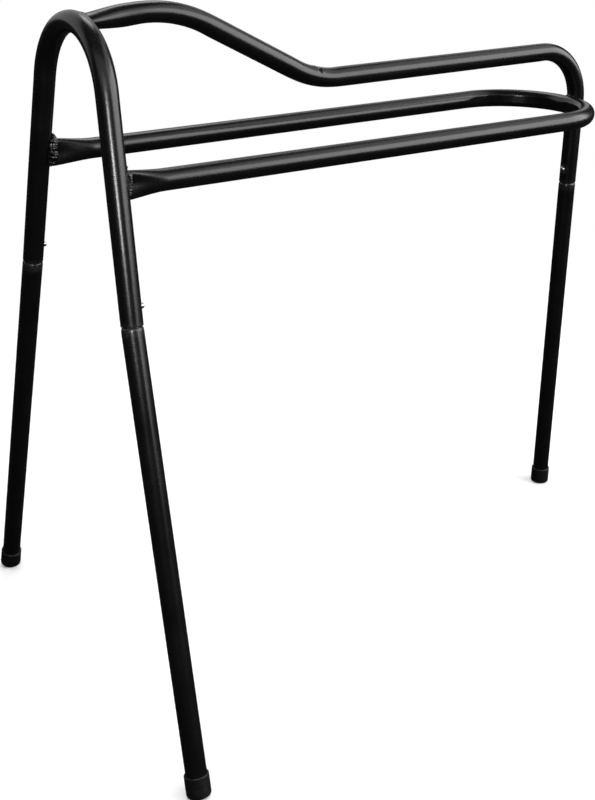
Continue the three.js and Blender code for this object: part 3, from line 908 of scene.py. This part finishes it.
class Finish:
    """A material and its shader nodes."""

    def __init__(self, name):
        self.material = bpy.data.materials.new(name)
        self.material.use_nodes = True
        self.tree = self.material.node_tree
        self.shader = self.tree.nodes["Principled BSDF"]
        self.place = self.tree.nodes.new("ShaderNodeTexCoord").outputs["Object"]

    def set(self, **values):
        """Plain values of the shader's inputs, named with _ for a space."""
        for name, value in values.items():
            self.shader.inputs[name.replace("_", " ")].default_value = value

    def noise(self, size, detail=3, roughness=0.5, stretch=None):
        """Noise from about 0.3 to 0.7 whose lumps are `size` across."""
        node = self.tree.nodes.new("ShaderNodeTexNoise")
        node.inputs["Scale"].default_value = 1 / size
        node.inputs["Detail"].default_value = detail
        node.inputs["Roughness"].default_value = roughness
        place = self.place
        if stretch:
            mapping = self.tree.nodes.new("ShaderNodeMapping")
            mapping.inputs["Scale"].default_value = stretch
            self.tree.links.new(place, mapping.inputs["Vector"])
            place = mapping.outputs["Vector"]
        self.tree.links.new(place, node.inputs["Vector"])
        return node.outputs["Fac"]

    def ramp(self, value, low, high, at=(0.3, 0.7)):
        """Maps a value from the range `at` to the range low to high."""
        node = self.tree.nodes.new("ShaderNodeMapRange")
        node.inputs["From Min"].default_value = at[0]
        node.inputs["From Max"].default_value = at[1]
        node.inputs["To Min"].default_value = low
        node.inputs["To Max"].default_value = high
        self.tree.links.new(value, node.inputs["Value"])
        return node.outputs["Result"]

    def mix(self, share, first, second):
        """A colour between two colours; each is a colour or a socket."""
        node = self.tree.nodes.new("ShaderNodeMix")
        node.data_type = "RGBA"
        self.tree.links.new(share, node.inputs["Factor"])
        for socket, value in ((node.inputs[6], first), (node.inputs[7], second)):
            if isinstance(value, bpy.types.NodeSocket):
                self.tree.links.new(value, socket)
            else:
                socket.default_value = (*value, 1)
        return node.outputs[2]

    def maths(self, operation, first, second):
        """A sum or product of two sockets or numbers."""
        node = self.tree.nodes.new("ShaderNodeMath")
        node.operation = operation
        for socket, value in zip(node.inputs, (first, second)):
            if isinstance(value, bpy.types.NodeSocket):
                self.tree.links.new(value, socket)
            else:
                socket.default_value = value
        return node.outputs[0]

    def wear(self):
        """The worn places painted on the mesh."""
        node = self.tree.nodes.new("ShaderNodeAttribute")
        node.attribute_name = "wear"
        return node.outputs["Fac"]

    def fade_to_white(self, near, far):
        """For the camera, the surface turns plain white between two distances from the origin."""
        nodes, links = self.tree.nodes, self.tree.links
        length = nodes.new("ShaderNodeVectorMath")
        length.operation = "LENGTH"
        links.new(self.place, length.inputs[0])
        white = nodes.new("ShaderNodeEmission")
        camera_ray = nodes.new("ShaderNodeLightPath").outputs["Is Camera Ray"]
        share = self.maths("MULTIPLY", self.ramp(length.outputs["Value"], 0, 1, (near, far)), camera_ray)
        mixed = nodes.new("ShaderNodeMixShader")
        links.new(share, mixed.inputs["Fac"])
        links.new(self.shader.outputs["BSDF"], mixed.inputs[1])
        links.new(white.outputs["Emission"], mixed.inputs[2])
        links.new(mixed.outputs["Shader"], nodes["Material Output"].inputs["Surface"])

    def feed(self, name, socket):
        """Joins a socket to one of the shader's inputs."""
        self.tree.links.new(socket, self.shader.inputs[name])

    def bump(self, *layers):
        """Bump from (height socket, depth in metres) layers."""
        normal = None
        for height, depth in layers:
            node = self.tree.nodes.new("ShaderNodeBump")
            node.inputs["Distance"].default_value = depth
            self.tree.links.new(height, node.inputs["Height"])
            if normal:
                self.tree.links.new(normal, node.inputs["Normal"])
            normal = node.outputs["Normal"]
        self.feed("Normal", normal)


def powder_coat(name="powder coat", grain=0.034 * MM, gloss=0.0):
    """Black powder coat: satin, a little grainy, with thin spots on edges that other parts rub."""
    finish = Finish(name)
    patches = finish.noise(45 * MM, 4)
    speckle = finish.noise(0.9 * MM, 2)
    flakes = finish.ramp(finish.noise(1.6 * MM, 4), 0, 1, (0.42, 0.6))
    rubbed = finish.maths("MULTIPLY", finish.wear(), flakes)
    coat = finish.mix(finish.ramp(patches, 0, 1), (0.0026, 0.0026, 0.0028), (0.004, 0.0039, 0.0038))
    finish.feed("Base Color", finish.mix(rubbed, coat, (0.10, 0.097, 0.094)))
    rough = finish.ramp(patches, 0.225 - gloss, 0.275 - gloss)
    finish.feed("Roughness", finish.maths("ADD", rough, finish.ramp(speckle, -0.03, 0.03)))
    finish.feed("Metallic", finish.maths("MULTIPLY", rubbed, 0.7))
    waviness = finish.noise(7 * MM, 2)
    peel = finish.noise(1.5 * MM, 2)
    finish.bump((waviness, 0.05 * MM), (peel, grain), (speckle, grain * 0.6))
    return finish.material


def rubber():
    """Moulded black rubber, matt, darker where it is clean and greyer where the floor has scuffed it."""
    finish = Finish("rubber")
    cloud = finish.noise(9 * MM, 5)
    patches = finish.ramp(finish.noise(2.5 * MM, 5), 0, 1, (0.4, 0.65))
    scuffs = finish.maths("MULTIPLY", finish.wear(), patches)
    base = finish.mix(finish.ramp(cloud, 0, 1), (0.002, 0.002, 0.0022), (0.0036, 0.0035, 0.0034))
    finish.feed("Base Color", finish.mix(scuffs, base, (0.01, 0.0096, 0.0093)))
    finish.feed("Roughness", finish.ramp(cloud, 0.4, 0.5))
    finish.bump((finish.noise(3 * MM, 3), 0.05 * MM), (finish.noise(0.35 * MM, 2), 0.02 * MM))
    return finish.material


def zinc_steel():
    """Bright zinc plate with faint turning marks."""
    finish = Finish("zinc steel")
    cloud = finish.noise(4 * MM, 4)
    tint = finish.mix(finish.ramp(cloud, 0, 1), (0.55, 0.55, 0.56), (0.74, 0.735, 0.71))
    finish.feed("Base Color", tint)
    finish.feed("Roughness", finish.ramp(cloud, 0.24, 0.4))
    finish.set(Metallic=1.0)
    finish.bump((finish.noise(0.6 * MM, 3), 0.015 * MM))
    return finish.material


def spring_steel():
    """Blued strip with rolling marks along it."""
    finish = Finish("spring steel")
    marks = finish.noise(2 * MM, 4, stretch=(4, 4, 0.4))
    tint = finish.mix(finish.ramp(marks, 0, 1), (0.16, 0.165, 0.18), (0.33, 0.33, 0.34))
    finish.feed("Base Color", tint)
    finish.feed("Roughness", finish.ramp(marks, 0.28, 0.45))
    finish.set(Metallic=1.0)
    finish.bump((marks, 0.02 * MM))
    return finish.material


def paint_wear(piece, places, flat=None):
    """Marks the places where the finish is rubbed: points with a radius, or everything below a height."""
    points = np.array([vertex.co[:] for vertex in piece.data.vertices])
    wear = np.zeros(len(points))
    for place, radius in places:
        distance = np.linalg.norm(points - np.array(place), axis=1)
        wear = np.maximum(wear, 1 - smooth(distance, 0.6 * radius, radius))
    if flat is not None:
        wear = np.maximum(wear, 1 - smooth(points[:, 2], 0, flat))
    attribute = piece.data.attributes.new("wear", "FLOAT", "POINT")
    attribute.data.foreach_set("value", wear.astype(np.float32))


def dress(piece, body, node, material):
    """Gives a piece its finish, hangs it on its body's empty if it has a body, and hides the CAD node that
    it stands for.
    """
    piece.data.materials.clear()
    piece.data.materials.append(material)
    if body:
        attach(piece, body)
    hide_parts(node)


# ---------------------------------------------------------------- assembly

COAT = powder_coat()
WELD_COAT = powder_coat("powder coat on weld", grain=0.06 * MM, gloss=0.04)
RUBBER = rubber()
ZINC = zinc_steel()
SPRING_STEEL = spring_steel()

arch_piece = front_arch()
spine_piece, spine_seam = spine_tube()
rail_piece, left_seam, right_seam = side_rails()

rubs = [(leg.button_foot + leg.out * RADIUS, 2.2 * BUTTON_HOLE) for leg in LEGS]
rubs += [(leg.mouth, RADIUS + 1.5 * MM) for leg in LEGS]
tubes = {"front_arch": arch_piece, "spine_tube": spine_piece, "side_rail_loop": rail_piece}
for node, piece in tubes.items():
    paint_wear(piece, rubs)
    dress(piece, "frame", node, COAT)

beads = [
    (weld_bead("spine_weld_bead", spine_seam, BEAD["spine"], 1), "weld_spine"),
    (rail_weld("rail_weld_bead_left", left_seam, 2), "weld_rail_left"),
    (rail_weld("rail_weld_bead_right", right_seam, 3), "weld_rail_right"),
    (loop_weld(), "weld_loop"),
]
for bead, node in beads:
    paint_wear(bead, [])
    dress(bead, "frame", node, WELD_COAT)

for leg in LEGS:
    tube = leg_tube(leg)
    paint_wear(tube, [(leg.knee, RADIUS + 2.5 * MM)])
    dress(tube, f"leg_{leg.side}", f"leg_{leg.side}", COAT)
    cap = foot_cap(leg)
    paint_wear(cap, [], flat=5 * MM)
    dress(cap, f"leg_{leg.side}", f"foot_cap_{leg.side}", RUBBER)
    button = snap_button(leg)
    dress(button, f"button_{leg.side}", f"snap_button_{leg.side}", ZINC)
    spring, back_point, seat_point = snap_spring(leg)
    dress(spring, None, f"snap_spring_{leg.side}", SPRING_STEEL)
    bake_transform(spring)

# ---------------------------------------------------------------- studio


def floor():
    """Pale floor that runs up into the white background."""
    bpy.ops.mesh.primitive_plane_add(size=30, location=(0, 0, 0))
    plane = bpy.context.object
    plane.name = "studio_floor"
    finish = Finish("studio floor")
    finish.set(Base_Color=(0.9, 0.9, 0.9, 1), Roughness=0.9)
    finish.fade_to_white(0.9, 1.8)
    plane.data.materials.append(finish.material)
    plane.visible_glossy = False
    plane.visible_diffuse = False


def backdrop():
    """White for the camera, and dim for everything else, so that only the lights shape reflections."""
    world = bpy.data.worlds.new("studio")
    bpy.context.scene.world = world
    world.use_nodes = True
    tree = world.node_tree
    path = tree.nodes.new("ShaderNodeLightPath")
    seen = tree.nodes["Background"]
    seen.inputs["Color"].default_value = (1, 1, 1, 1)
    dim = tree.nodes.new("ShaderNodeBackground")
    dim.inputs["Color"].default_value = (1, 1, 1, 1)
    dim.inputs["Strength"].default_value = 0.02
    mixed = tree.nodes.new("ShaderNodeMixShader")
    tree.links.new(path.outputs["Is Camera Ray"], mixed.inputs["Fac"])
    tree.links.new(dim.outputs["Background"], mixed.inputs[1])
    tree.links.new(seen.outputs["Background"], mixed.inputs[2])
    tree.links.new(mixed.outputs["Shader"], tree.nodes["World Output"].inputs["Surface"])


def softbox(name, azimuth, elevation, wide, tall, brightness, aim=LIGHT_AIM, distance=4):
    """An area light that fills wide x tall degrees; azimuth runs from the front (-Y) toward +X."""
    turn, rise = math.radians(azimuth), math.radians(elevation)
    direction = Vector((math.sin(turn) * math.cos(rise), -math.cos(turn) * math.cos(rise), math.sin(rise)))
    light = bpy.data.lights.new(name, "AREA")
    light.shape = "RECTANGLE"
    light.size = 2 * distance * math.tan(math.radians(wide / 2))
    light.size_y = 2 * distance * math.tan(math.radians(tall / 2))
    light.energy = brightness * math.pi * light.size * light.size_y
    lamp = bpy.data.objects.new(name, light)
    lamp.location = aim + direction * distance
    lamp.rotation_euler = (-direction).to_track_quat("-Z", "Y").to_euler()
    lamp.visible_camera = False
    bpy.context.scene.collection.objects.link(lamp)
    return lamp


def lights():
    """Broad soft light from the right, and a narrow strip that draws the streak on the near leg."""
    near_socket = LEGS[0].mouth + UP * 0.08
    softbox("key", 52, 18.5, 64, 35, 4.4)
    softbox("key_top", 62, 47, 62, 24, 1.1)
    softbox("strip", -33, 18.5, 13, 14, 32, aim=near_socket, distance=1)
    softbox("strip_glow", -30, 28, 30, 20, 1.0)
    softbox("front_wall", -25, 44, 90, 40, 0.6)
    softbox("rim", 150, 52, 22, 22, 3)
    softbox("back_wall", 178, 32, 110, 50, 0.7)
    overhead = softbox("overhead", 0, 88, 40, 40, 5.2)
    overhead.visible_glossy = False


def camera():
    """Looks down at the near front leg from the left."""
    data = bpy.data.cameras.new("camera")
    data.sensor_width = 36
    data.lens = CAMERA["lens"]
    data.shift_x = CAMERA["shift"][0]
    data.shift_y = CAMERA["shift"][1]
    made = bpy.data.objects.new("camera", data)
    made.location = CAMERA["place"]
    yaw, down, roll = [math.radians(value) for value in CAMERA["turn"]]
    level = Euler((math.pi / 2 - down, 0, -yaw)).to_matrix()
    made.rotation_euler = (level @ Matrix.Rotation(roll, 3, "Z")).to_euler()
    bpy.context.scene.collection.objects.link(made)
    bpy.context.scene.camera = made


floor()
backdrop()
lights()
camera()

# a plain film response, so that the white background stays white
bpy.context.scene.view_settings.view_transform = "Standard"
